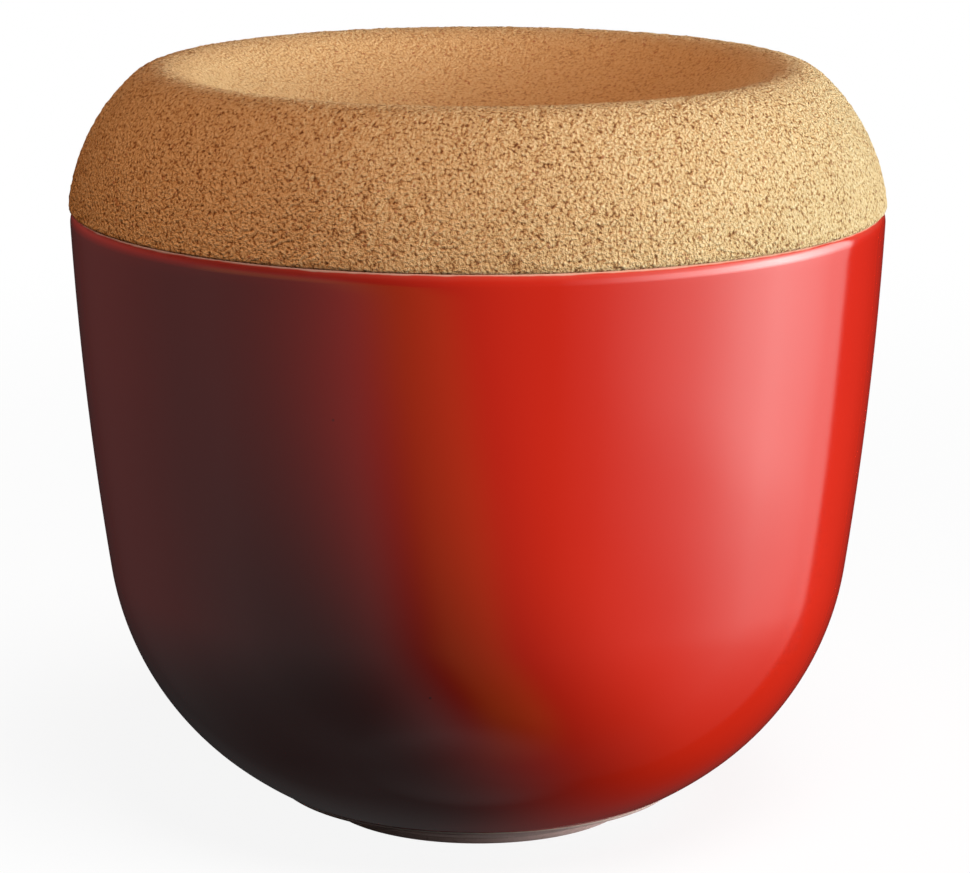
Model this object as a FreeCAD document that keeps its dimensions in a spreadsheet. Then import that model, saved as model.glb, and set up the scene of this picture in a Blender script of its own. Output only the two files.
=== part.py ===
import FreeCAD, Part

import math
import os

import Sketcher

# Garlic pot: a round glazed ceramic pot and the cork lid that plugs its mouth and doubles as a dish.
# Millimetres, +Z up. The origin is on the ground at the middle of the foot, and Z is the axis of both.

# Driving dimensions: alias, value, meaning. Each is set here and nowhere else.
SIZES = [
    ("pot_height", 110.0, "ground to the flat top of the rim"),
    ("rim_radius", 72.2, "outside of the rim, before its edges are rounded"),
    ("side_bow", 650.0, "radius of the gentle bow of the side, seen in profile"),
    ("side_draw", 6.1, "how much the side narrows on its way down to the belly"),
    ("side_end_height", 45.4, "height at which the side turns into the belly"),
    ("belly_draw", 38.1, "how much the pot narrows from there down to the foot"),
    ("belly_slope", 38.0, "slope where the belly turns into the underside, in degrees off the ground"),
    ("foot_slope", 19.5, "slope where the underside meets the foot, in degrees off the ground"),
    ("wall", 6.0, "thickness of the side and of the floor"),
    ("floor_round", 12.0, "radius between the floor and the inside of the belly"),
    ("lip_outer_round", 2.2, "rounding of the rim's outer edge"),
    ("lip_inner_round", 1.8, "rounding of the rim's inner edge"),
    ("foot_height", 1.0, "how far the foot ring stands below the base"),
    ("foot_width", 4.5, "width of the foot ring"),
    ("foot_round", 0.4, "rounding of the foot ring's two ground edges"),
    ("lid_overhang", 0.2, "how far the lid's lower edge reaches past the rim"),
    ("lid_rise", 24.9, "rim to the crest of the lid"),
    ("lid_lean", 4.7, "lean of the lid's side at the rim, in degrees off the vertical"),
    ("crest_inset", 16.7, "crest of the lid, measured in from its lower edge"),
    ("crest_outer_round", 8.0, "radius of the crest towards the outside"),
    ("crest_inner_round", 12.0, "radius of the crest towards the dish"),
    ("dish_depth", 17.5, "crest to the middle of the dish"),
    ("lid_edge_round", 0.8, "rounding of the lid's lower edge"),
    ("plug_depth", 12.0, "length of the plug below the rim"),
    ("plug_clearance", 0.6, "gap between the plug and the inside of the pot's wall"),
    ("plug_edge_round", 2.5, "rounding of the plug's lower edge"),
]

# Sizes that follow from the ones above: alias, formula, meaning.
DERIVED = [
    ("side_end_radius", "rim_radius - side_draw", "outside, where the side turns into the belly"),
    ("belly_spoke", "belly_slope - 90", "centre of the underside's arc to its upper end, in degrees"),
    ("foot_spoke", "foot_slope - 90", "centre of the underside's arc to the foot, in degrees"),
    ("foot_radius", "side_end_radius - belly_draw", "outside of the foot ring"),
    ("foot_bore", "foot_radius - foot_width", "inside of the foot ring"),
    ("mouth_radius", "rim_radius - wall", "inside of the rim, before its edges are rounded"),
    ("mouth_bow", "side_bow - wall", "radius of the side's inside, seen in profile"),
    ("floor_height", "foot_height + wall", "ground to the floor inside"),
    ("lid_radius", "rim_radius + lid_overhang", "lower edge of the lid"),
    ("crest_radius", "lid_radius - crest_inset", "ring along the crest of the lid"),
    ("crest_height", "pot_height + lid_rise", "ground to the crest of the lid"),
    ("dish_height", "crest_height - dish_depth", "ground to the middle of the dish"),
    ("plug_inset", "wall + plug_clearance", "outside of the pot's side to the plug"),
    ("plug_bow", "side_bow - plug_inset", "radius of the plug's side, seen in profile"),
    ("plug_end", "pot_height - plug_depth", "ground to the lower face of the plug"),
]


def make_sheet(doc):
    """Spreadsheet with one row for each size: the driving ones first, then the derived ones."""
    sheet = doc.addObject("Spreadsheet::Sheet", "sizes")
    derived = [(alias, f"={formula}", meaning) for alias, formula, meaning in DERIVED]
    for row, (alias, content, meaning) in enumerate(SIZES + derived, start=1):
        sheet.set(f"A{row}", alias)
        sheet.set(f"B{row}", str(content))
        sheet.setAlias(f"B{row}", alias)
        sheet.set(f"C{row}", meaning)
    doc.recompute()
    return sheet


# ---------------------------------------------------------------------------------------------
# Plane geometry of the profiles: x is the distance from the axis, y the height
# ---------------------------------------------------------------------------------------------

def point(x, y):
    return FreeCAD.Vector(x, y, 0.0)


def toward(angle):
    """Unit vector at an angle in degrees, counted up from the outward direction."""
    return point(math.cos(math.radians(angle)), math.sin(math.radians(angle)))


def arc_about(centre, radius, low_angle, high_angle):
    circle = Part.Circle(centre, FreeCAD.Vector(0, 0, 1), radius)
    return Part.ArcOfCircle(circle, math.radians(low_angle), math.radians(high_angle))


def angle_of(vector):
    return math.degrees(math.atan2(vector.y, vector.x))


def arc_of_radius(low, high, radius):
    """Arc that bulges outward from a low point to a high one."""
    chord = high - low
    inward = point(-chord.y, chord.x).normalize()
    rise = math.sqrt(radius ** 2 - (chord.Length / 2) ** 2)
    centre = (low + high) / 2 + inward * rise
    return arc_about(centre, radius, angle_of(low - centre), angle_of(high - centre))


def inset(arc, distance):
    """The same arc moved inward by a distance, with its ends on the same spokes."""
    low = angle_of(arc.StartPoint - arc.Center)
    high = angle_of(arc.EndPoint - arc.Center)
    return arc_about(arc.Center, arc.Radius - distance, low, high)


def cut(arc, low_height, high_height):
    """The same arc, ended at two heights."""
    low, high = (
        math.degrees(math.asin((height - arc.Center.y) / arc.Radius))
        for height in (low_height, high_height)
    )
    return arc_about(arc.Center, arc.Radius, low, high)


def cross(one, other):
    return one.x * other.y - one.y * other.x


def arcs_below(upper_arc, low, joint_spoke, low_spoke):
    """Two arcs that run on from the low end of another arc down to a low point.

    The spokes are the directions, in degrees, from an arc's centre to the joint of the two and
    to the low point. With the two ends they leave only the radii to find.
    """
    high = upper_arc.StartPoint
    high_spoke = angle_of(high - upper_arc.Center)
    upper_step = toward(high_spoke) - toward(joint_spoke)
    lower_step = toward(joint_spoke) - toward(low_spoke)
    span = high - low
    upper_radius = cross(lower_step, span) / cross(lower_step, upper_step)
    lower_radius = cross(span, upper_step) / cross(lower_step, upper_step)
    upper_centre = high - toward(high_spoke) * upper_radius
    lower_centre = low - toward(low_spoke) * lower_radius
    return (
        arc_about(upper_centre, upper_radius, joint_spoke, high_spoke),
        arc_about(lower_centre, lower_radius, low_spoke, joint_spoke),
    )


# ---------------------------------------------------------------------------------------------
# Sketch and body helpers
# ---------------------------------------------------------------------------------------------

def origin_plane(body, role):
    return next(plane for plane in body.Origin.OriginFeatures if plane.Role == role)


def new_body(doc, label):
    body = doc.addObject("PartDesign::Body", label)
    body.Label = label
    return body


def new_sketch(body, name, role):
    sketch = body.newObject("Sketcher::SketchObject", name)
    sketch.AttachmentSupport = [(origin_plane(body, role), "")]
    sketch.MapMode = "FlatFace"
    return sketch


GROUND = 0.0

# How a sketch numbers the points of a curve, its own origin and its vertical axis.
START = 1
END = 2
CENTRE = 3
ORIGIN = (-1, 1)
AXIS = -2


class Drawing:
    """Curves and constraints, gathered first and then put into a sketch together."""

    def __init__(self, sketch):
        self.sketch = sketch
        self.curves = []
        self.constraints = []
        self.formulas = {}

    def add(self, curve, construction=False):
        self.curves.append(curve)
        self.sketch.addGeometry(curve, construction)
        return len(self.curves) - 1

    def line(self, first, last, construction=False):
        return self.add(Part.LineSegment(first, last), construction)

    def circle(self, radius):
        return self.add(Part.Circle(point(0, 0), FreeCAD.Vector(0, 0, 1), radius))

    def where(self, end):
        curve, position = end
        names = {START: "StartPoint", END: "EndPoint", CENTRE: "Center"}
        return getattr(self.curves[curve], names[position])

    def rule(self, kind, *arguments):
        self.constraints.append(Sketcher.Constraint(kind, *arguments))

    def join(self, *ends):
        """Join the ends of a chain two by two: first with second, third with fourth and so on."""
        for one, other in zip(ends[0::2], ends[1::2]):
            self.rule("Coincident", *one, *other)

    def smooth(self, one, other):
        """Join two ends so that the curves run on into each other."""
        self.rule("Tangent", *one, *other)

    def dimension(self, alias, kind, *arguments, unit=""):
        """A rule whose value is a cell of the sheet, with a unit where the rule asks for one."""
        self.formulas[len(self.constraints)] = (alias, f"sizes.{alias}{unit}")
        self.rule(kind, *arguments)

    def height(self, end, alias):
        """Hold an end at a height above the ground."""
        self.dimension(alias, "DistanceY", *ORIGIN, *end, self.where(end).y)

    def place(self, end, radius_alias, height_alias):
        """Hold an end at a distance from the axis and at a height."""
        self.dimension(radius_alias, "DistanceX", *ORIGIN, *end, self.where(end).x)
        self.height(end, height_alias)

    def radius(self, curve, alias):
        """Set the radius of a circle or an arc."""
        self.dimension(alias, "Radius", curve, self.curves[curve].Radius)

    def slope(self, line, alias):
        """Set the direction of a line."""
        run = self.curves[line].EndPoint - self.curves[line].StartPoint
        self.dimension(alias, "Angle", line, math.radians(angle_of(run)), unit=" * 1 deg")

    def finish(self):
        """Put the constraints into the sketch, then bind each dimension to its formula."""
        self.sketch.addConstraint(self.constraints)
        for index, (name, formula) in self.formulas.items():
            self.sketch.renameConstraint(index, name)
            self.sketch.setExpression(f"Constraints.{name}", formula)
        return self.sketch


def revolve(body, sketch, name):
    """Full turn of a profile about the vertical axis."""
    turned = body.newObject("PartDesign::Revolution", name)
    turned.Profile = sketch
    turned.ReferenceAxis = (sketch, ["V_Axis"])
    turned.Angle = 360.0
    return turned


def ring_edge(shape, radius, height):
    """Name of the round edge about the Z axis that lies nearest to a radius and a height."""
    distances = {}
    for number, edge in enumerate(shape.Edges, start=1):
        if not edge.Degenerated and edge.isClosed():
            spot = edge.Vertexes[0].Point
            distances[number] = math.hypot(math.hypot(spot.x, spot.y) - radius, spot.z - height)
    return f"Edge{min(distances, key=distances.get)}"


def round_edge(body, name, alias, radius, height):
    """Fillet on one ring edge, with its radius bound to the sheet."""
    base = body.Tip
    fillet = body.newObject("PartDesign::Fillet", name)
    fillet.Base = (base, [ring_edge(base.Shape, radius, height)])
    fillet.setExpression("Radius", f"sizes.{alias}")
    body.Document.recompute()
    return fillet


# ---------------------------------------------------------------------------------------------
# The pot
# ---------------------------------------------------------------------------------------------

def side_arc(sheet):
    """Profile of the pot's side: from the belly up to the rim, bowed a little outward."""
    low = point(sheet.side_end_radius, sheet.side_end_height)
    high = point(sheet.rim_radius, sheet.pot_height)
    return arc_of_radius(low, high, sheet.side_bow)


def draw_side(drawing, sheet, construction=False):
    """The side's arc, held by the rim, the belly and its radius."""
    side = drawing.add(side_arc(sheet), construction)
    drawing.place((side, END), "rim_radius", "pot_height")
    drawing.place((side, START), "side_end_radius", "side_end_height")
    drawing.radius(side, "side_bow")
    return side


def draw_pot_profile(body, sheet):
    """Half profile of the pot: base, underside, belly and side, then the same curves inside."""
    drawing = Drawing(new_sketch(body, "pot_profile", "XZ_Plane"))
    side_shape = side_arc(sheet)
    foot_top = point(sheet.foot_radius, sheet.foot_height)
    belly_shape, under_shape = arcs_below(side_shape, foot_top, sheet.belly_spoke, sheet.foot_spoke)
    under_in_shape = inset(under_shape, sheet.wall)
    belly_in_shape = inset(belly_shape, sheet.wall)
    side_in_shape = inset(side_shape, sheet.wall)
    under_in_shape = cut(under_in_shape, sheet.floor_height, under_in_shape.EndPoint.y)
    side_in_shape = cut(side_in_shape, side_in_shape.StartPoint.y, sheet.pot_height)
    base_middle = point(0, sheet.foot_height)
    floor_middle = point(0, sheet.floor_height)

    side = draw_side(drawing, sheet)
    belly = drawing.add(belly_shape)
    under = drawing.add(under_shape)
    base = drawing.line(base_middle, under_shape.StartPoint)
    rim = drawing.line(side_shape.EndPoint, side_in_shape.EndPoint)
    side_in = drawing.add(side_in_shape)
    belly_in = drawing.add(belly_in_shape)
    under_in = drawing.add(under_in_shape)
    floor = drawing.line(under_in_shape.StartPoint, floor_middle)
    axis = drawing.line(floor_middle, base_middle)
    belly_spoke = drawing.line(under_shape.Center, under_shape.EndPoint, construction=True)
    foot_spoke = drawing.line(under_shape.Center, under_shape.StartPoint, construction=True)

    drawing.smooth((belly, END), (side, START))
    drawing.smooth((under, END), (belly, START))
    drawing.smooth((belly_in, END), (side_in, START))
    drawing.smooth((under_in, END), (belly_in, START))
    drawing.join((base, END), (under, START), (rim, START), (side, END))
    drawing.join((rim, END), (side_in, END), (floor, START), (under_in, START))
    drawing.join((floor, END), (axis, START), (axis, END), (base, START))
    for inner, outer in ((side_in, side), (belly_in, belly), (under_in, under)):
        drawing.join((inner, CENTRE), (outer, CENTRE))
    for spoke, end in ((belly_spoke, END), (foot_spoke, START)):
        drawing.join((spoke, START), (under, CENTRE), (spoke, END), (under, end))
    for flat in (base, rim, floor):
        drawing.rule("Horizontal", flat)
    for end in ((axis, START), (axis, END)):
        drawing.rule("PointOnObject", *end, AXIS)

    drawing.slope(belly_spoke, "belly_spoke")
    drawing.slope(foot_spoke, "foot_spoke")
    drawing.place((under, START), "foot_radius", "foot_height")
    drawing.height((floor, END), "floor_height")
    drawing.radius(side_in, "mouth_bow")
    return drawing.finish()


def add_foot(body, sheet):
    """Foot ring under the base: two circles on the ground, padded up to the base."""
    drawing = Drawing(new_sketch(body, "foot_profile", "XY_Plane"))
    for alias in ("foot_radius", "foot_bore"):
        ring = drawing.circle(sheet.getPropertyByName(alias))
        drawing.rule("Coincident", ring, CENTRE, *ORIGIN)
        drawing.radius(ring, alias)
    foot = body.newObject("PartDesign::Pad", "foot")
    foot.Profile = drawing.finish()
    foot.setExpression("Length", "sizes.foot_height")
    body.Document.recompute()
    return foot


def make_pot(doc, sheet):
    body = new_body(doc, "pot")
    revolve(body, draw_pot_profile(body, sheet), "pot_form")
    doc.recompute()
    add_foot(body, sheet)
    round_edge(body, "floor_fillet", "floor_round", sheet.foot_radius, sheet.floor_height)
    round_edge(body, "lip_outer_fillet", "lip_outer_round", sheet.rim_radius, sheet.pot_height)
    round_edge(body, "lip_inner_fillet", "lip_inner_round", sheet.mouth_radius, sheet.pot_height)
    round_edge(body, "foot_outer_fillet", "foot_round", sheet.foot_radius, GROUND)
    round_edge(body, "foot_inner_fillet", "foot_round", sheet.foot_bore, GROUND)
    return body


# ---------------------------------------------------------------------------------------------
# The lid
# ---------------------------------------------------------------------------------------------

def lid_arcs(sheet):
    """The lid's side, outer crest, inner crest and dish: four arcs that run on into each other."""
    edge = point(sheet.lid_radius, sheet.pot_height)
    crest = point(sheet.crest_radius, sheet.crest_height)
    outer_centre = crest - point(0, sheet.crest_outer_round)
    inner_centre = crest - point(0, sheet.crest_inner_round)
    lean = toward(sheet.lid_lean)
    reach = edge - outer_centre
    side_radius = reach.Length ** 2 - sheet.crest_outer_round ** 2
    side_radius /= 2 * (reach.dot(lean) - sheet.crest_outer_round)
    side_centre = edge - lean * side_radius
    turn = angle_of(outer_centre - side_centre)
    drop = sheet.crest_inner_round - sheet.dish_depth
    dish_radius = inner_centre.x ** 2 + drop ** 2 - sheet.crest_inner_round ** 2
    dish_radius /= 2 * sheet.dish_depth
    dish_centre = point(0, sheet.dish_height + dish_radius)
    slope = angle_of(dish_centre - inner_centre)
    return (
        arc_about(side_centre, side_radius, sheet.lid_lean, turn),
        arc_about(outer_centre, sheet.crest_outer_round, turn, 90),
        arc_about(inner_centre, sheet.crest_inner_round, 90, slope),
        arc_about(dish_centre, dish_radius, -90, slope - 180),
    )


def plug_arc(sheet):
    """Profile of the plug: the inside of the pot's wall, moved in by the clearance."""
    return cut(inset(side_arc(sheet), sheet.plug_inset), sheet.plug_end, sheet.pot_height)


def draw_lid_profile(body, sheet):
    """Half profile of the lid: plug, seat, side, crest and dish."""
    drawing = Drawing(new_sketch(body, "lid_profile", "XZ_Plane"))
    plug_shape = plug_arc(sheet)
    side_shape, outer_shape, inner_shape, dish_shape = lid_arcs(sheet)
    plug_middle = point(0, sheet.plug_end)
    pot_side = draw_side(drawing, sheet, construction=True)
    plug = drawing.add(plug_shape)
    seat = drawing.line(plug_shape.EndPoint, side_shape.StartPoint)
    side = drawing.add(side_shape)
    outer = drawing.add(outer_shape)
    inner = drawing.add(inner_shape)
    dish = drawing.add(dish_shape)
    axis = drawing.line(dish_shape.StartPoint, plug_middle)
    bottom = drawing.line(plug_middle, plug_shape.StartPoint)
    spoke = drawing.line(side_shape.Center, side_shape.StartPoint, construction=True)

    drawing.join((plug, CENTRE), (pot_side, CENTRE))
    drawing.join((plug, END), (seat, START), (seat, END), (side, START))
    drawing.join((dish, START), (axis, START), (axis, END), (bottom, START))
    drawing.join((bottom, END), (plug, START))
    drawing.join((spoke, START), (side, CENTRE), (spoke, END), (side, START))
    drawing.smooth((side, END), (outer, START))
    drawing.smooth((outer, END), (inner, START))
    drawing.smooth((inner, END), (dish, END))
    drawing.rule("Horizontal", seat)
    drawing.rule("Horizontal", bottom)
    drawing.rule("Horizontal", pot_side, END, side, START)
    drawing.rule("Vertical", outer, END, outer, CENTRE)
    for end in ((dish, CENTRE), (dish, START), (axis, END)):
        drawing.rule("PointOnObject", *end, AXIS)

    drawing.dimension("lid_radius", "DistanceX", *ORIGIN, side, START, sheet.lid_radius)
    drawing.place((outer, END), "crest_radius", "crest_height")
    drawing.radius(outer, "crest_outer_round")
    drawing.radius(inner, "crest_inner_round")
    drawing.radius(plug, "plug_bow")
    drawing.height((plug, START), "plug_end")
    drawing.height((dish, START), "dish_height")
    drawing.slope(spoke, "lid_lean")
    return drawing.finish()


def make_lid(doc, sheet):
    body = new_body(doc, "cork_lid")
    revolve(body, draw_lid_profile(body, sheet), "lid_form")
    doc.recompute()
    plug_radius = plug_arc(sheet).StartPoint.x
    round_edge(body, "plug_fillet", "plug_edge_round", plug_radius, sheet.plug_end)
    round_edge(body, "edge_fillet", "lid_edge_round", sheet.lid_radius, sheet.pot_height)
    return body


# ---------------------------------------------------------------------------------------------
# Build, check and write
# ---------------------------------------------------------------------------------------------

def check(doc, bodies):
    """Stop when an object has failed, a sketch is loose or a body is no single valid solid."""
    for thing in doc.Objects:
        if "Invalid" in thing.State or "Error" in thing.State:
            raise RuntimeError(f"{thing.Name} failed: {thing.State}")
        if thing.isDerivedFrom("Sketcher::SketchObject") and not thing.FullyConstrained:
            raise RuntimeError(f"{thing.Name} is not fully constrained")
    for body in bodies:
        shape = body.Shape
        if shape.isNull() or not shape.isValid() or len(shape.Solids) != 1:
            raise RuntimeError(f"{body.Label} is not one valid solid")


def main():
    doc = FreeCAD.newDocument("garlic_pot")
    sheet = make_sheet(doc)
    bodies = [make_pot(doc, sheet), make_lid(doc, sheet)]
    doc.recompute()
    check(doc, bodies)
    os.makedirs("parts", exist_ok=True)
    for body in bodies:
        body.Shape.exportStep(f"parts/{body.Label}.step")
        box = body.Shape.optimalBoundingBox(False)
        volume = body.Shape.Volume / 1000
        print(f"{body.Label}: {box.XLength:.2f} x {box.YLength:.2f}, z {box.ZMin:.2f} to {box.ZMax:.2f} mm, "
              f"{volume:.1f} cm3, {len(body.Shape.Faces)} faces")


main()
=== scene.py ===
import math

import bpy
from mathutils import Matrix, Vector, noise


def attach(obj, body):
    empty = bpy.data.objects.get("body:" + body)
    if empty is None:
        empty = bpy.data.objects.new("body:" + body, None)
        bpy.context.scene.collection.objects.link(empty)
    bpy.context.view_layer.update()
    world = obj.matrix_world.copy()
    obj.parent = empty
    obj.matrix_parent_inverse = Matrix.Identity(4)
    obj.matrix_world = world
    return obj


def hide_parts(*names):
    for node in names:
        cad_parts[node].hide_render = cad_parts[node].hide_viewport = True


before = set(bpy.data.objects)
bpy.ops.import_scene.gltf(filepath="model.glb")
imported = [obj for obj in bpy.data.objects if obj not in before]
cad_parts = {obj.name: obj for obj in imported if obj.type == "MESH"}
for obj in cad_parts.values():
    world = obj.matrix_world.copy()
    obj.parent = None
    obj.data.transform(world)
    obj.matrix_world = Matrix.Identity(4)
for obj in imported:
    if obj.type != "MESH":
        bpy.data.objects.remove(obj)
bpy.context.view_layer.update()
MM = 0.001

# -------------------------------------------------------------------------------------------------
# Sizes in millimetres, the same as the CAD's
# -------------------------------------------------------------------------------------------------
POT_HEIGHT = 110.0
RIM_RADIUS = 72.2
SIDE_BOW = 650.0
SIDE_END = (66.1, 45.4)
BELLY_SLOPE = 38.0
FOOT_SLOPE = 19.5
WALL = 6.0
FLOOR_ROUND = 12.0
LIP_OUTER_ROUND = 2.2
LIP_INNER_ROUND = 1.8
FOOT_RADIUS = 28.0
FOOT_BORE = 23.5
FOOT_HEIGHT = 1.0
FOOT_ROUND = 0.4
LID_RADIUS = 72.4
LID_LEAN = 4.7
CREST = (55.7, 134.9)
CREST_OUTER_ROUND = 8.0
CREST_INNER_ROUND = 12.0
DISH_DEPTH = 17.5
LID_EDGE_ROUND = 0.8
PLUG_INSET = 6.6
PLUG_END = 98.0
PLUG_EDGE_ROUND = 2.5

# -------------------------------------------------------------------------------------------------
# Looks of the pieces, in millimetres
# -------------------------------------------------------------------------------------------------
GLAZE_END = 4.75          # height at which the glaze stops above the bare foot
GLAZE_STEP = 0.10         # how far the glaze stands proud of the bare clay
CLAY_MARGIN = 0.05        # the clay's material reaches this far above GLAZE_END
# The rolled lower edge of the glaze, as degrees round the underside's arc, counted up the wall
# from GLAZE_END: where the bare clay stops, the roll itself with how far each point of it stands
# proud, and where the plain glaze starts.
CLAY_STOP = -0.45
BEAD = (
    (-0.35, 0.0), (-0.27, 0.16), (-0.12, 0.29), (0.05, 0.34),
    (0.20, 0.32), (0.31, 0.24), (0.40, 0.12), (0.47, 0.02),
)
GLAZE_START = 0.85
LIP_DEPTH = 1.1           # set-back of the rim's outer rounding at the top, as glaze fills it
POT_SEGMENTS = 448
LID_SEGMENTS = 688
LID_FEWEST_SEGMENTS = 43
LID_HIDDEN_SHARE = 4      # the hidden plug and seat have this many times fewer
LID_SEAT_MARGIN = 1.0     # and they stop this far inside the lid's edge
CORK_SPACING = 0.66       # between the lid's mesh points where it is granular
CORK_CROWDING = 0.62      # rings whose points are closer than this share of it get half as many
SAME_POINT = 1e-6         # points closer than this are one

# The cork's relief
GRANULE = 1.45            # across
RELIEF = 0.144            # from the top of a granule to the joint between two
JOINT_WIDTH = 0.6         # share of a granule over which its edge falls away
MEAN_GRAIN = 0.62         # taken off, so that the relief leaves the lid's size as it is
# Noise over the granules: (size of its waves, depth, offset that sets it apart from the others).
FINE = (0.7, 0.10, (7.3, 1.1, 4.2))
BROAD = (3.1, 0.05, (3.7, 9.4, 2.6))
PITS = (1.5, 0.66, (11.0, 5.0, 8.0))
PITS_ABOVE = 0.28         # pits are where this noise is higher
SEAT_TOP = 0.01           # the relief starts this far above the seat
DISH_RELIEF = 0.42        # share of the relief that the polished dish keeps
DISH_FADE = 5.0           # distance inside the crest over which the relief falls towards that
DISH_TOP = 0.8            # everything this far below the crest is dish

# -------------------------------------------------------------------------------------------------
# Looks of the studio, in metres and degrees round from the camera's side
# -------------------------------------------------------------------------------------------------
WORLD_LEVEL = 0.012       # the world's strength for rays that don't see it directly
FLOOR_RADIUS = 6.0
FLOOR_SHADE = 0.09        # how much of the floor's white the object's shadow can take away
FLOOR_SHADE_FADE = (0.60, 0.20)   # none this far from the middle, all of it this near

# The shell that glossy rays see. The first number of a pair is degrees round, or the sine of the
# height above the horizon, and the second is brightness.
SHELL_RADIUS = 5.0
# A tall soft light on the right, round and then up.
SOFT_LIGHT_ROUND = (
    (0, 0.0), (22, 0.03), (34, 0.36), (46, 1.05), (63, 2.1), (80, 3.7), (92, 4.1), (104, 2.8),
    (117, 1.4), (125, 1.05), (127, 0.04), (150, 0.0),
)
SOFT_LIGHT_UP = (
    (-1.0, 0.0), (-0.82, 0.015), (-0.72, 0.05), (-0.62, 0.10), (-0.52, 0.18), (-0.44, 0.34),
    (-0.375, 0.58), (-0.32, 0.88), (-0.24, 1.0), (-0.12, 1.1), (-0.04, 2.0), (0.06, 3.4),
    (0.30, 3.4), (0.46, 1.2), (0.7, 0.5),
)
# The paler room on the left.
PALE_SIDE = (
    (-180, 0.0), (-150, 0.02), (-128, 0.09), (-110, 0.16), (-95, 0.24), (-80, 0.32), (40, 0.34),
    (90, 0.0), (180, 0.0),
)
# What is left elsewhere.
GLOOM = (
    (-180, 0.020), (-165, 0.014), (-148, 0.03), (-90, 0.07), (-40, 0.08), (30, 0.09), (118, 0.07),
    (130, 0.015), (180, 0.020),
)
TAN_WALL = (0.38, 0.25, 0.03, 1.0)
# Directions that lie across an edge on the shell.
EDGES = {
    "pale": (1.0, -0.66, 0.30),      # where the paler room ends, on the floor to the front
    "tan": (1.0, 0.452, 1.10),       # the strip of tan wall between the room and the soft light
}
# Smooth steps that are multiplied together: (X, Y, Z or an edge, from, to, and then the two ends'
# levels where they aren't 0 and 1).
PALE_STEPS = (("pale", 0.17, -0.15), ("Z", 0.55, 0.10), ("Z", -0.99, -0.90))
PALE_CORNER = (("Z", -0.40, -0.85), ("X", -0.15, -0.45, 0.0, 0.5))   # dimmed, low on the left
GLOOM_STEPS = (("Z", -0.80, -0.45, 0.3, 1.0),)
BELOW = (("Z", -0.88, -0.98),)                                       # a glow straight below
BEHIND = (("Y", -0.20, 0.15), ("Z", -0.30, -0.85))                   # a weaker one, low at the back
BEHIND_LEVEL = 0.45
BELOW_STEPS = (("X", 0.40, 0.0, 0.0, 0.18), ("X", -0.50, -0.05, 0.25, 1.0))
TAN_STEPS = (
    ("tan", -0.80, -0.68), ("tan", -0.46, -0.60), ("Z", -0.98, -0.82, 0.25, 1.0),
    ("Y", -0.05, -0.30),
)

AIM = Vector((0.0, 0.0, 0.070))
LAMP_DISTANCE = 1.3
WHITE = (1.0, 1.0, 1.0)
# The key light is a spot, aimed to the right of and above AIM by metres across its own beam.
KEY_AZIMUTH, KEY_ELEVATION = 41.4, 5.2
KEY_RIGHT, KEY_UP = 0.0619, 0.0357
KEY_HALF_ANGLE, KEY_BLEND = 6.22, 0.455
KEY_SIZE = 0.002
KEY_LEVEL = 1.03
# Round soft lamps: name, degrees round, degrees up, size, level, colour and what it lights.
# At level 1 a surface that faces a lamp renders as its colour is written.
LAMPS = (
    ("side", 129, 9, 0.35, 0.55, WHITE, "pot"),
    ("left", -101, 55, 0.50, 0.26, WHITE, "pot"),
    ("rim", 0, 88, 0.30, 0.42, WHITE, "pot"),
    ("low", 126, -26, 0.35, 0.47, WHITE, "pot"),
    ("cork_key", 65, 11, 0.40, 0.88, (1.0, 1.0, 0.86), "lid"),
    ("cork_side", 92, 8, 0.40, 0.83, (0.84, 0.95, 0.94), "lid"),
    ("cork_front", 2, 40, 0.45, 0.42, (1.0, 0.74, 0.58), "lid"),
    ("cork_left", -46, 44, 0.45, 0.42, (1.0, 0.36, 0.06), "lid"),
    ("back", 170, 12, 0.45, 0.42, WHITE, "pot"),
    ("cork_back", 178, 14, 0.45, 0.62, (1.0, 0.90, 0.78), "lid"),
    ("above", 30, 65, 0.80, 1.10, WHITE, "floor"),
)
SHADED_BY_ITS_OWN = ("rim", "low")   # only what these lamps light stands in their way

CAMERA_PLACE = (0.00126, -0.70024, 0.22358)
CAMERA_DOWN = 12.56
CAMERA_LENS = 148.01


# -------------------------------------------------------------------------------------------------
# Profiles: lists of (radius, height) in millimetres
# -------------------------------------------------------------------------------------------------
def angle_of(x, y):
    return math.degrees(math.atan2(y, x))


def polar(centre, radius, degrees):
    a = math.radians(degrees)
    return centre[0] + radius * math.cos(a), centre[1] + radius * math.sin(a)


def arc(centre, radius, start, end, spacing):
    """Points along an arc, both ends included."""
    length = abs(math.radians(end - start)) * radius
    count = max(3, math.ceil(length / spacing))
    return [polar(centre, radius, start + (end - start) * i / count) for i in range(count + 1)]


def line(first, last, spacing):
    count = max(1, math.ceil(math.dist(first, last) / spacing))
    return [tuple(a + (b - a) * i / count for a, b in zip(first, last)) for i in range(count + 1)]


def chain(*runs):
    """Runs of points joined end to end, each shared point kept once."""
    out = []
    for run in runs:
        out += run if not out or math.dist(out[-1], run[0]) > SAME_POINT else run[1:]
    return out


def side_centre():
    (x0, y0), (x1, y1) = SIDE_END, (RIM_RADIUS, POT_HEIGHT)
    half = math.dist((x0, y0), (x1, y1)) / 2
    rise = math.sqrt(SIDE_BOW ** 2 - half ** 2)
    return ((x0 + x1) / 2 - (y1 - y0) / (2 * half) * rise,
            (y0 + y1) / 2 + (x1 - x0) / (2 * half) * rise)


def corner(centre, radius, level, rounding, above, inside):
    """Centre of a rounding between an arc and a level, and the angle where it meets the arc."""
    y = level + rounding if above else level - rounding
    reach = radius - rounding if inside else radius + rounding
    x = centre[0] + math.sqrt(reach ** 2 - (y - centre[1]) ** 2)
    return (x, y), angle_of(x - centre[0], y - centre[1])


def cross(a, b):
    return a[0] * b[1] - a[1] * b[0]


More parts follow.
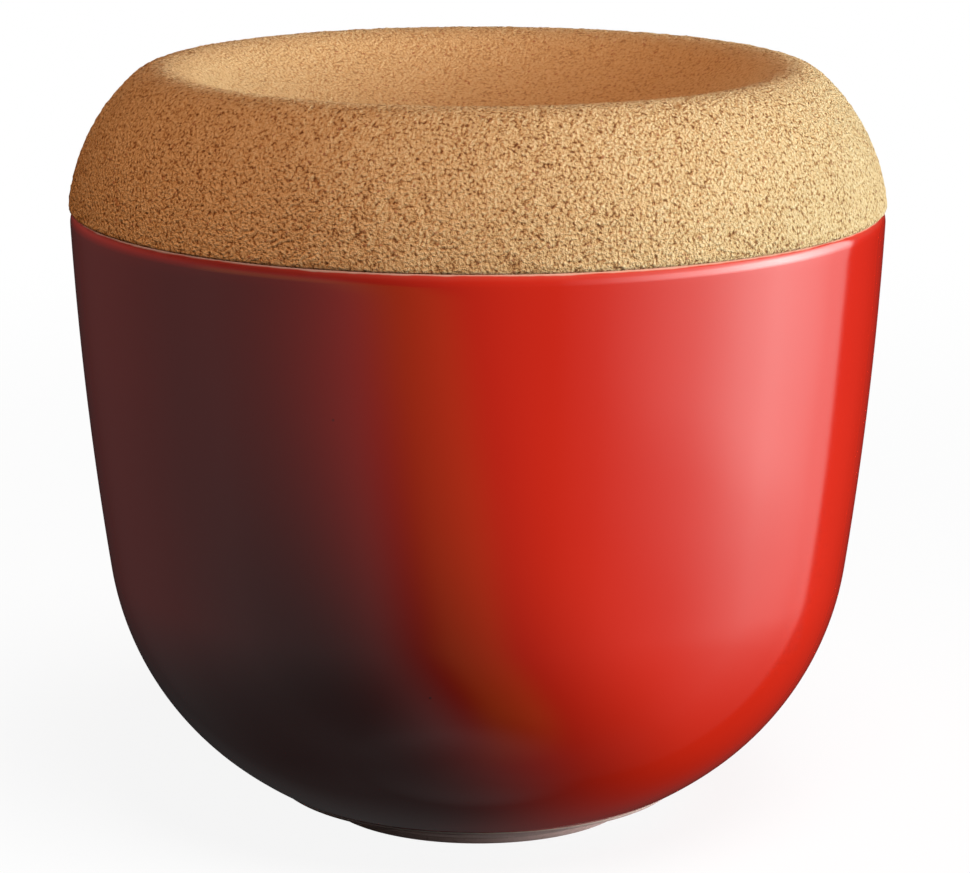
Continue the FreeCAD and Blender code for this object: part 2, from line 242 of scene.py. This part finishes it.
def belly_arcs():
    """Centres and radii of the belly and the underside, and the three angles that bound them."""
    cx, cy = side_centre()
    top = angle_of(SIDE_END[0] - cx, SIDE_END[1] - cy)
    joint, foot = BELLY_SLOPE - 90, FOOT_SLOPE - 90
    (ux, uy), (jx, jy), (fx, fy) = (polar((0.0, 0.0), 1.0, a) for a in (top, joint, foot))
    upper, lower = (ux - jx, uy - jy), (jx - fx, jy - fy)
    span = (SIDE_END[0] - FOOT_RADIUS, SIDE_END[1] - FOOT_HEIGHT)
    belly_radius = cross(lower, span) / cross(lower, upper)
    under_radius = cross(span, upper) / cross(lower, upper)
    belly = (SIDE_END[0] - ux * belly_radius, SIDE_END[1] - uy * belly_radius)
    under = (FOOT_RADIUS - fx * under_radius, FOOT_HEIGHT - fy * under_radius)
    return belly, belly_radius, under, under_radius, top, joint, foot


def pot_profile():
    """Closed from axis to axis: recess, foot, outside, rim, inside and floor.

    The last number of each run is the spacing of its points.
    """
    side = side_centre()
    belly, belly_radius, under, under_radius, top, joint, foot = belly_arcs()
    outer_lip, outer_end = corner(side, SIDE_BOW, POT_HEIGHT, LIP_OUTER_ROUND, False, True)
    inner_lip, inner_end = corner(side, SIDE_BOW - WALL, POT_HEIGHT, LIP_INNER_ROUND, False, False)
    floor = FOOT_HEIGHT + WALL
    floor_round, floor_end = corner(under, under_radius - WALL, floor, FLOOR_ROUND, True, True)
    edge = outer_lip[0] + LIP_OUTER_ROUND
    lip = [(edge - (edge - x) * LIP_DEPTH / LIP_OUTER_ROUND, y)
           for x, y in arc(outer_lip, LIP_OUTER_ROUND, outer_end, 90, 0.2)][1:]
    glaze = math.degrees(math.asin((GLAZE_END - under[1]) / under_radius))
    bare = arc(under, under_radius - GLAZE_STEP, foot, glaze + CLAY_STOP, 0.8)
    bead = [polar(under, under_radius + out, glaze + turn) for turn, out in BEAD]
    return chain(
        line((0.0, FOOT_HEIGHT), (FOOT_BORE, FOOT_HEIGHT), 3.0),
        line((FOOT_BORE, FOOT_HEIGHT), (FOOT_BORE, FOOT_ROUND), 0.3),
        arc((FOOT_BORE + FOOT_ROUND, FOOT_ROUND), FOOT_ROUND, 180, 270, 0.15),
        line((FOOT_BORE + FOOT_ROUND, 0.0), (FOOT_RADIUS - FOOT_ROUND, 0.0), 0.8),
        arc((FOOT_RADIUS - FOOT_ROUND, FOOT_ROUND), FOOT_ROUND, -90, 0, 0.15),
        line((FOOT_RADIUS, FOOT_ROUND), bare[0], 0.3),
        bare,
        bead,
        arc(under, under_radius, glaze + GLAZE_START, joint, 1.2),
        arc(belly, belly_radius, joint, top, 1.5),
        arc(side, SIDE_BOW, top, outer_end, 1.4)[:-1],
        lip,
        line(lip[-1], (inner_lip[0], POT_HEIGHT), 0.7),
        arc(inner_lip, LIP_INNER_ROUND, 90, inner_end + 180, 0.4),
        arc(side, SIDE_BOW - WALL, inner_end, top, 4.0),
        arc(belly, belly_radius - WALL, top, joint, 2.0),
        arc(under, under_radius - WALL, joint, floor_end, 2.0),
        arc(floor_round, FLOOR_ROUND, floor_end, -90, 1.0),
        line((floor_round[0], floor), (0.0, floor), 3.0),
    )


def lid_profile():
    """Closed from axis to axis: plug, seat, side, crest and dish."""
    edge = (LID_RADIUS, POT_HEIGHT)
    outer = (CREST[0], CREST[1] - CREST_OUTER_ROUND)
    inner = (CREST[0], CREST[1] - CREST_INNER_ROUND)
    lean = polar((0.0, 0.0), 1.0, LID_LEAN)
    reach = (edge[0] - outer[0], edge[1] - outer[1])
    side_radius = (reach[0] ** 2 + reach[1] ** 2 - CREST_OUTER_ROUND ** 2) / (
        2 * (reach[0] * lean[0] + reach[1] * lean[1] - CREST_OUTER_ROUND))
    side = (edge[0] - lean[0] * side_radius, edge[1] - lean[1] * side_radius)
    turn = angle_of(outer[0] - side[0], outer[1] - side[1])
    drop = CREST_INNER_ROUND - DISH_DEPTH
    dish_radius = (inner[0] ** 2 + drop ** 2 - CREST_INNER_ROUND ** 2) / (2 * DISH_DEPTH)
    dish = (0.0, CREST[1] - DISH_DEPTH + dish_radius)
    slope = angle_of(dish[0] - inner[0], dish[1] - inner[1])
    rounding, start = corner(side, side_radius, POT_HEIGHT, LID_EDGE_ROUND, True, True)
    bow = side_centre()
    plug_radius = SIDE_BOW - PLUG_INSET
    plug_round, plug_start = corner(bow, plug_radius, PLUG_END, PLUG_EDGE_ROUND, True, True)
    plug_top = math.degrees(math.asin((POT_HEIGHT - bow[1]) / plug_radius))
    plug_seat = polar(bow, plug_radius, plug_top)[0]
    s = CORK_SPACING
    return chain(
        line((0.0, PLUG_END), (plug_round[0], PLUG_END), 4.0),
        arc(plug_round, PLUG_EDGE_ROUND, -90, plug_start, 0.8),
        arc(bow, plug_radius, plug_start, plug_top, 2.0),
        line((plug_seat, POT_HEIGHT), (rounding[0], POT_HEIGHT), 2.0),
        arc(rounding, LID_EDGE_ROUND, -90, start, s / 2),
        arc(side, side_radius, start, turn, s),
        arc(outer, CREST_OUTER_ROUND, turn, 90, s),
        arc(inner, CREST_INNER_ROUND, 90, slope, s),
        arc(dish, dish_radius, slope - 180, -90, s),
    )


# -------------------------------------------------------------------------------------------------
# Meshes
# -------------------------------------------------------------------------------------------------
def turned(name, profile, counts, shift=None):
    """A closed surface of revolution from rings of points; the ends lie on the axis."""
    verts, faces, rings = [], [], []
    for (radius, height), count in zip(profile, counts):
        if radius < SAME_POINT:
            count = 1
        start = len(verts)
        for i in range(count):
            a = 2 * math.pi * i / count
            verts.append((radius * math.cos(a), radius * math.sin(a), height))
        rings.append((start, count))
    for (s0, n0), (s1, n1) in zip(rings, rings[1:]):
        most = max(n0, n1)
        for i in range(most):
            j = (i + 1) % most
            a, b = (s0 + i * n0 // most, s0 + (j * n0 // most) % n0)
            c, d = (s1 + (j * n1 // most) % n1, s1 + i * n1 // most)
            face = [k for n, k in enumerate((a, b, c, d)) if k not in (a, b, c, d)[:n]]
            if len(face) > 2:
                faces.append(tuple(face))
    if shift:
        verts = shift(verts, rings, profile)
    mesh = bpy.data.meshes.new(name)
    mesh.from_pydata([tuple(c * MM for c in v) for v in verts], [], faces)
    mesh.validate()
    for polygon in mesh.polygons:
        polygon.use_smooth = True
    piece = bpy.data.objects.new(name, mesh)
    bpy.context.scene.collection.objects.link(piece)
    return piece


def ring_normals(profile):
    """Outward normal (radial, vertical) at each point of a profile that runs up the outside."""
    out = []
    for i in range(len(profile)):
        (x0, y0), (x1, y1) = profile[max(0, i - 1)], profile[min(len(profile) - 1, i + 1)]
        length = math.dist((x0, y0), (x1, y1))
        out.append(((y1 - y0) / length, (x0 - x1) / length))
    return out


def cork_noise(point, kind, above=None):
    """One kind of noise at a point, in mm; only what is above a level, where one is given."""
    size, depth, offset = kind
    value = noise.noise(point / size + Vector(offset))
    return depth * (value if above is None else max(0.0, value - above))


def cork_relief(point):
    """How far the cork stands out at a point, in mm: granules, fine roughness and a few pits."""
    near = noise.voronoi(point / GRANULE)[0]
    grain = min(near[1] - near[0], JOINT_WIDTH) / JOINT_WIDTH
    return (RELIEF * (grain - MEAN_GRAIN) + cork_noise(point, FINE) + cork_noise(point, BROAD)
            - cork_noise(point, PITS, PITS_ABOVE))


def rough_weight(radius, height):
    """Full relief on the side and crest, gentle in the polished dish, none on the hidden plug."""
    if height < POT_HEIGHT + SEAT_TOP:
        return 0.0
    if radius >= CREST[0]:
        return min(1.0, (height - POT_HEIGHT) / LID_EDGE_ROUND)
    if height < CREST[1] - DISH_TOP:
        return DISH_RELIEF
    return DISH_RELIEF + (1 - DISH_RELIEF) * max(0.0, 1 - (CREST[0] - radius) / DISH_FADE)


def cork_shift(verts, rings, profile):
    """The lid's points, each moved out or in by the cork's relief."""
    normals = ring_normals(profile)
    moved = []
    for (start, count), (radius, height), (nr, nz) in zip(rings, profile, normals):
        weight = rough_weight(radius, height)
        for x, y, z in verts[start:start + count]:
            if weight == 0.0 or radius < SAME_POINT:
                moved.append((x, y, z))
                continue
            out = weight * cork_relief(Vector((x, y, z)))
            cosine, sine = x / radius, y / radius
            moved.append((x + cosine * nr * out, y + sine * nr * out, z + nz * out))
    return moved


# -------------------------------------------------------------------------------------------------
# Materials
# -------------------------------------------------------------------------------------------------
class Nodes:
    """A short way to write a node tree."""

    def __init__(self, tree):
        self.tree = tree
        tree.nodes.clear()

    def new(self, kind, inputs=None, **settings):
        node = self.tree.nodes.new(kind)
        for key, value in settings.items():
            setattr(node, key, value)
        for key, value in (inputs or {}).items():
            socket = node.inputs[key]
            if isinstance(value, bpy.types.NodeSocket):
                self.tree.links.new(value, socket)
            else:
                socket.default_value = value
        return node

    def place(self):
        return self.new("ShaderNodeTexCoord").outputs["Object"]

    def math(self, operation, *values):
        inputs = dict(enumerate(values))
        return self.new("ShaderNodeMath", inputs, operation=operation).outputs[0]

    def vector(self, operation, *values, **named):
        inputs = {**dict(enumerate(values)), **named}
        node = self.new("ShaderNodeVectorMath", inputs, operation=operation)
        return node.outputs["Value" if operation in ("LENGTH", "DOT_PRODUCT") else "Vector"]

    def mix(self, factor, first, second):
        inputs = {0: factor, 6: first, 7: second}
        return self.new("ShaderNodeMix", inputs, data_type="RGBA").outputs[2]

    def steps(self, value, low, high, out_low=0.0, out_high=1.0):
        """Smooth step of a value."""
        node = self.new("ShaderNodeMapRange", {
            "Value": value, "From Min": low, "From Max": high,
            "To Min": out_low, "To Max": out_high,
        }, interpolation_type="SMOOTHSTEP")
        return node.outputs[0]

    def ramp(self, value, stops):
        node = self.new("ShaderNodeValToRGB", {"Fac": value})
        elements = node.color_ramp.elements
        while len(elements) < len(stops):
            elements.new(0.5)
        for element, (position, colour) in zip(elements, stops):
            element.position = position
            element.color = (*colour, 1.0)
        return node.outputs[0]

    def noise(self, where, scale, detail, roughness=0.5, output="Fac"):
        return self.new("ShaderNodeTexNoise", {
            "Vector": where, "Scale": scale, "Detail": detail, "Roughness": roughness,
        }).outputs[output]

    def cells(self, where, scale):
        """Voronoi cells: distance from the nearest centre, and three random values of its cell."""
        node = self.new("ShaderNodeTexVoronoi", {"Vector": where, "Scale": scale}, feature="F1")
        return node.outputs["Distance"], self.separate(node.outputs["Color"])

    def separate(self, colour):
        return self.new("ShaderNodeSeparateColor", {0: colour}).outputs

    def emission(self, colour, strength):
        return self.new("ShaderNodeEmission", {"Color": colour, "Strength": strength}).outputs[0]

    def matt(self, level):
        return self.new("ShaderNodeBsdfDiffuse", {"Color": (level, level, level, 1.0)}).outputs[0]

    def add(self, first, second):
        return self.new("ShaderNodeAddShader", {0: first, 1: second}).outputs[0]

    def surface(self, shader):
        self.new("ShaderNodeOutputMaterial", {"Surface": shader})

    def principled(self, colour, rough, relief, strength, distance, **constants):
        """A principled surface with a bump, as the material's output."""
        bump = self.new("ShaderNodeBump", {
            "Strength": strength, "Distance": distance, "Height": relief,
        })
        inputs = {"Base Color": colour, "Roughness": rough, "Normal": bump.outputs[0]}
        inputs.update({key.replace("_", " "): value for key, value in constants.items()})
        self.surface(self.new("ShaderNodeBsdfPrincipled", inputs).outputs[0])


def material(name):
    made = bpy.data.materials.new(name)
    made.use_nodes = True
    return made, Nodes(made.node_tree)


def glaze_material():
    made, n = material("red_glaze")
    where = n.place()
    height = n.new("ShaderNodeSeparateXYZ", {0: where}).outputs["Z"]
    red = n.ramp(n.noise(where, 14.0, 2.0), (
        (0.3, (0.605, 0.017, 0.0060)), (0.7, (0.645, 0.022, 0.0072)),
    ))
    # Pinholes and specks in the glaze, a few tenths of a millimetre across.
    distance, chance = n.cells(where, 130.0)
    spot = n.math("MULTIPLY", n.steps(distance, 0.045, 0.02), n.steps(chance[0], 0.955, 0.96))
    red = n.mix(spot, red, (0.16, 0.012, 0.008, 1.0))
    # The glaze runs thin over the rim's rounding and at its lower edge, where paler clay shows; the
    # lower edge's line is partly painted highlight.
    ragged = n.math("MULTIPLY_ADD", n.noise(where, 160.0, 3.0), 0.5 * MM, height)
    rim = n.steps(ragged, (POT_HEIGHT - 0.12) * MM, (POT_HEIGHT + 0.12) * MM)
    salmon = n.steps(ragged, (POT_HEIGHT - 1.1) * MM, (POT_HEIGHT + 0.1) * MM)
    foot = n.steps(ragged, (GLAZE_END + 0.75) * MM, (GLAZE_END + 0.50) * MM)
    red = n.mix(n.math("MULTIPLY", salmon, 0.28), red, (0.72, 0.13, 0.08, 1.0))
    red = n.mix(n.math("MULTIPLY", rim, 0.8), red, (0.78, 0.50, 0.36, 1.0))
    # Partly painted highlight: the pale line at the glaze's lower edge is lighter than the bare
    # clay, as where that edge catches light.
    red = n.mix(foot, red, (0.86, 0.74, 0.62, 1.0))
    waves = n.noise(where, 32.0, 1.0)
    relief = n.math("MULTIPLY_ADD", n.noise(where, 420.0, 1.0), 0.012, waves)
    relief = n.math("SUBTRACT", relief, n.math("MULTIPLY", spot, 0.05))
    rough = n.steps(n.noise(where, 900.0, 2.0), 0.25, 0.75, 0.075, 0.105)
    n.principled(red, rough, relief, 0.35, 0.6 * MM, IOR=1.5)
    return made


def clay_material():
    made, n = material("bare_clay")
    where = n.place()
    broad = n.noise(where, 90.0, 4.0)
    grit = n.noise(where, 1500.0, 3.0)
    colour = n.ramp(broad, ((0.3, (0.54, 0.38, 0.35)), (0.7, (0.64, 0.47, 0.44))))
    dark = n.math("MULTIPLY", n.steps(grit, 0.60, 0.70), 0.4)
    colour = n.mix(dark, colour, (0.30, 0.19, 0.13, 1.0))
    rough = n.steps(broad, 0.3, 0.7, 0.72, 0.85)
    n.principled(colour, rough, grit, 0.5, 0.15 * MM, IOR=1.45, Specular_IOR_Level=0.35)
    return made


def cork_material():
    made, n = material("cork_granules")
    where = n.place()
    xyz = n.new("ShaderNodeSeparateXYZ", {0: where}).outputs
    flat = n.new("ShaderNodeCombineXYZ", {0: xyz[0], 1: xyz[1]}).outputs[0]
    dish = n.steps(n.vector("LENGTH", flat), (CREST[0] + 0.5) * MM, (CREST[0] - 4.5) * MM)
    # Ground granules: pale rounded crumbs; the colour turns dark brown where the relief is low
    # between them, painted shade in the recesses over the cork's own uneven tone.
    stir = n.vector("SUBTRACT", n.noise(where, 2000.0, 1.0, output="Color"), (0.5, 0.5, 0.5))
    stirred = n.vector("ADD", where, n.vector("SCALE", stir, Scale=0.5 * MM))
    distance, tone = n.cells(stirred, 1600.0)
    lumps = n.noise(where, 2000.0, 3.0, 0.6)
    fine = n.noise(where, 4200.0, 1.0)
    patch = n.noise(where, 70.0, 3.0)
    level = n.math("MULTIPLY_ADD", distance, -0.42, n.math("ADD", lumps, 0.20))
    tone_and_painted_shade = n.math("MULTIPLY_ADD", n.math("SUBTRACT", tone[0], 0.5), 0.08, level)
    tone_and_painted_shade = n.math("MULTIPLY_ADD", n.math("SUBTRACT", patch, 0.5), 0.12, tone_and_painted_shade)
    # The ramp's dark end is painted shade: the lows of the relief, at the joints between granules,
    # are coloured dark brown.
    colour = n.ramp(tone_and_painted_shade, (
        (0.24, (0.20, 0.088, 0.038)), (0.34, (0.46, 0.270, 0.122)),
        (0.43, (0.66, 0.470, 0.252)), (0.68, (0.80, 0.640, 0.405)),
    ))
    # The polished dish is more even, and a shade deeper.
    colour = n.mix(dish, colour, n.mix(0.55, colour, (0.54, 0.355, 0.185, 1.0)))
    # A few reddish-brown flecks of bark.
    fleck = n.math("MULTIPLY", n.steps(tone[1], 0.968, 0.975),
                   n.steps(distance, 0.60, 0.35, 0.0, 0.7))
    colour = n.mix(fleck, colour, (0.32, 0.10, 0.04, 1.0))
    relief = n.math("MULTIPLY_ADD", fine, 0.12, level)
    relief = n.math("MULTIPLY", relief, n.math("MULTIPLY_ADD", dish, -0.55, 1.0))
    rough = n.steps(fine, 0.3, 0.7, 0.78, 0.92)
    n.principled(colour, rough, relief, 1.0, 1.0 * MM, Specular_IOR_Level=0.25)
    return made


# -------------------------------------------------------------------------------------------------
# The pot and the lid
# -------------------------------------------------------------------------------------------------
def make_pot():
    profile = pot_profile()
    pot = turned("pot_glazed", profile, [POT_SEGMENTS] * len(profile))
    pot.data.materials.append(glaze_material())
    pot.data.materials.append(clay_material())
    for polygon in pot.data.polygons:
        polygon.material_index = 1 if polygon.center.z < (GLAZE_END + CLAY_MARGIN) * MM else 0
    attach(pot, "root")
    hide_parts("pot")
    return pot


def make_lid():
    profile = lid_profile()
    counts = []
    for radius, height in profile:
        hidden = height <= POT_HEIGHT and radius < LID_RADIUS - LID_SEAT_MARGIN
        count = LID_SEGMENTS // LID_HIDDEN_SHARE if hidden else LID_SEGMENTS
        closest = CORK_SPACING * CORK_CROWDING
        while count > LID_FEWEST_SEGMENTS and 2 * math.pi * radius / count < closest:
            count //= 2
        counts.append(count)
    lid = turned("cork_lid_granular", profile, counts, cork_shift)
    lid.data.materials.append(cork_material())
    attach(lid, "root")
    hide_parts("cork_lid")
    return lid


# -------------------------------------------------------------------------------------------------
# Stage: floor, world, reflection shell, lamps, camera
# -------------------------------------------------------------------------------------------------
def direct_rays(n):
    """1 for rays that should see the white background: camera, glossy and transmission rays."""
    path = n.new("ShaderNodeLightPath").outputs
    seen = n.math("MAXIMUM", path["Is Camera Ray"], path["Is Glossy Ray"])
    return n.math("MAXIMUM", seen, path["Is Transmission Ray"])


def make_floor():
    bpy.ops.mesh.primitive_circle_add(vertices=96, radius=FLOOR_RADIUS, fill_type="NGON")
    floor = bpy.context.object
    floor.name = "studio_floor"
    made, n = material("pale_floor")
    near = n.steps(n.vector("LENGTH", n.place()), *FLOOR_SHADE_FADE)
    glow = n.math("MULTIPLY_ADD", near, -FLOOR_SHADE, 1.0)
    white = n.emission((1, 1, 1, 1), n.math("MULTIPLY", glow, direct_rays(n)))
    lit = n.new("ShaderNodeMixShader", {0: near, 1: n.matt(0.0), 2: n.matt(FLOOR_SHADE)})
    n.surface(n.add(lit.outputs[0], white))
    floor.data.materials.append(made)
    floor.visible_glossy = False
    floor.visible_diffuse = False
    return floor


def make_world():
    world = bpy.data.worlds.new("studio")
    bpy.context.scene.world = world
    world.use_nodes = True
    n = Nodes(world.node_tree)
    strength = n.math("MULTIPLY_ADD", direct_rays(n), 1.0 - WORLD_LEVEL, WORLD_LEVEL)
    light = n.new("ShaderNodeBackground", {"Color": (1, 1, 1, 1), "Strength": strength})
    n.new("ShaderNodeOutputWorld", {"Surface": light.outputs[0]})


def make_reflections():
    """A shell that only glossy rays see.

    It has a soft light on the right, a paler room on the left and a strip of tan wall between.
    """
    bpy.ops.mesh.primitive_uv_sphere_add(segments=64, ring_count=32, radius=SHELL_RADIUS)
    shell = bpy.context.object
    shell.name = "studio_reflections"
    made, n = material("studio_reflections")
    way = n.vector("NORMALIZE", n.place())
    xyz = n.new("ShaderNodeSeparateXYZ", {0: way}).outputs
    along = {axis: xyz[axis] for axis in "XYZ"}
    for edge, direction in EDGES.items():
        along[edge] = n.vector("DOT_PRODUCT", way, Vector(direction).normalized())
    forward = n.math("MULTIPLY", xyz["Y"], -1.0)
    turn = n.math("DIVIDE", n.math("ARCTAN2", xyz["X"], forward), 2 * math.pi)
    turn = n.math("ADD", turn, 0.5)
    rise = n.math("MULTIPLY_ADD", xyz["Z"], 0.5, 0.5)

    def table(value, stops):
        """Brightness read off a table, which a ramp holds as shares of its largest."""
        top = max(level for _, level in stops)
        share = n.separate(n.ramp(value, [(x, (y / top,) * 3) for x, y in stops]))[0]
        return n.math("MULTIPLY", share, top)

    def by_turn(stops):
        return table(turn, [((a + 180) / 360, level) for a, level in stops])

    def by_rise(stops):
        return table(rise, [((z + 1) / 2, level) for z, level in stops])

    def times(*values):
        product = values[0]
        for value in values[1:]:
            product = n.math("MULTIPLY", product, value)
        return product

    def stepped(rows):
        return times(*(n.steps(along[axis], *stops) for axis, *stops in rows))

    light = times(by_turn(SOFT_LIGHT_ROUND), by_rise(SOFT_LIGHT_UP))
    left_corner = n.math("SUBTRACT", 1.0, stepped(PALE_CORNER))
    pale = times(by_turn(PALE_SIDE), stepped(PALE_STEPS), left_corner)
    gloom = times(by_turn(GLOOM), stepped(GLOOM_STEPS))
    below = n.math("MAXIMUM", stepped(BELOW), times(stepped(BEHIND), BEHIND_LEVEL))
    below = times(below, stepped(BELOW_STEPS))
    total = n.math("ADD", n.math("ADD", light, pale), n.math("ADD", gloom, below))
    tan = n.emission(TAN_WALL, stepped(TAN_STEPS))
    n.surface(n.add(n.emission((1, 1, 1, 1), total), tan))
    made.cycles.emission_sampling = "NONE"
    shell.data.materials.append(made)
    for kind in ("camera", "diffuse", "transmission", "volume_scatter", "shadow"):
        setattr(shell, f"visible_{kind}", False)


def toward(azimuth, elevation):
    """The point at a lamp's distance from AIM."""
    a, e = math.radians(azimuth), math.radians(elevation)
    way = Vector((math.cos(e) * math.sin(a), -math.cos(e) * math.cos(a), math.sin(e)))
    return AIM + LAMP_DISTANCE * way


def place_lamp(data, place, target, colour, lights, alone=False):
    """Puts up a lamp that lights one object; where it is alone, nothing else shades it."""
    data.color = colour
    thing = bpy.data.objects.new(data.name, data)
    thing.location = place
    thing.rotation_euler = (place - target).to_track_quat("Z", "Y").to_euler()
    bpy.context.scene.collection.objects.link(thing)
    thing.visible_glossy = False
    thing.visible_camera = False
    chosen = bpy.data.collections.new(thing.name + "_lights")
    chosen.objects.link(lights)
    thing.light_linking.receiver_collection = chosen
    if alone:
        thing.light_linking.blocker_collection = chosen


def make_key(pot):
    """The spot that lights the pot from the right."""
    data = bpy.data.lights.new("key", "SPOT")
    data.energy = KEY_LEVEL * (2 * math.pi * LAMP_DISTANCE) ** 2
    data.spot_size = 2 * math.radians(KEY_HALF_ANGLE)
    data.spot_blend = KEY_BLEND
    data.shadow_soft_size = KEY_SIZE
    place = toward(KEY_AZIMUTH, KEY_ELEVATION)
    beam = (AIM - place).normalized()
    side = beam.cross(Vector((0, 0, 1))).normalized()
    target = AIM + side * KEY_RIGHT + side.cross(beam) * KEY_UP
    place_lamp(data, place, target, WHITE, pot)


def make_lamps(pieces):
    make_key(pieces["pot"])
    for name, azimuth, elevation, size, level, colour, lights in LAMPS:
        data = bpy.data.lights.new(name, "AREA")
        data.shape = "DISK"
        data.size = size
        data.energy = level * (math.pi * LAMP_DISTANCE) ** 2
        place_lamp(data, toward(azimuth, elevation), AIM, colour, pieces[lights],
                   name in SHADED_BY_ITS_OWN)


def make_camera():
    data = bpy.data.cameras.new("camera")
    data.sensor_width = 36.0
    data.lens = CAMERA_LENS
    data.clip_start = 0.05
    data.clip_end = 50.0
    camera = bpy.data.objects.new("camera", data)
    camera.location = CAMERA_PLACE
    camera.rotation_euler = (math.radians(90 - CAMERA_DOWN), 0.0, 0.0)
    bpy.context.scene.collection.objects.link(camera)
    bpy.context.scene.camera = camera


pieces = {"pot": make_pot(), "lid": make_lid(), "floor": make_floor()}
make_world()
make_reflections()
make_lamps(pieces)
make_camera()
bpy.context.scene.view_settings.view_transform = "Standard"
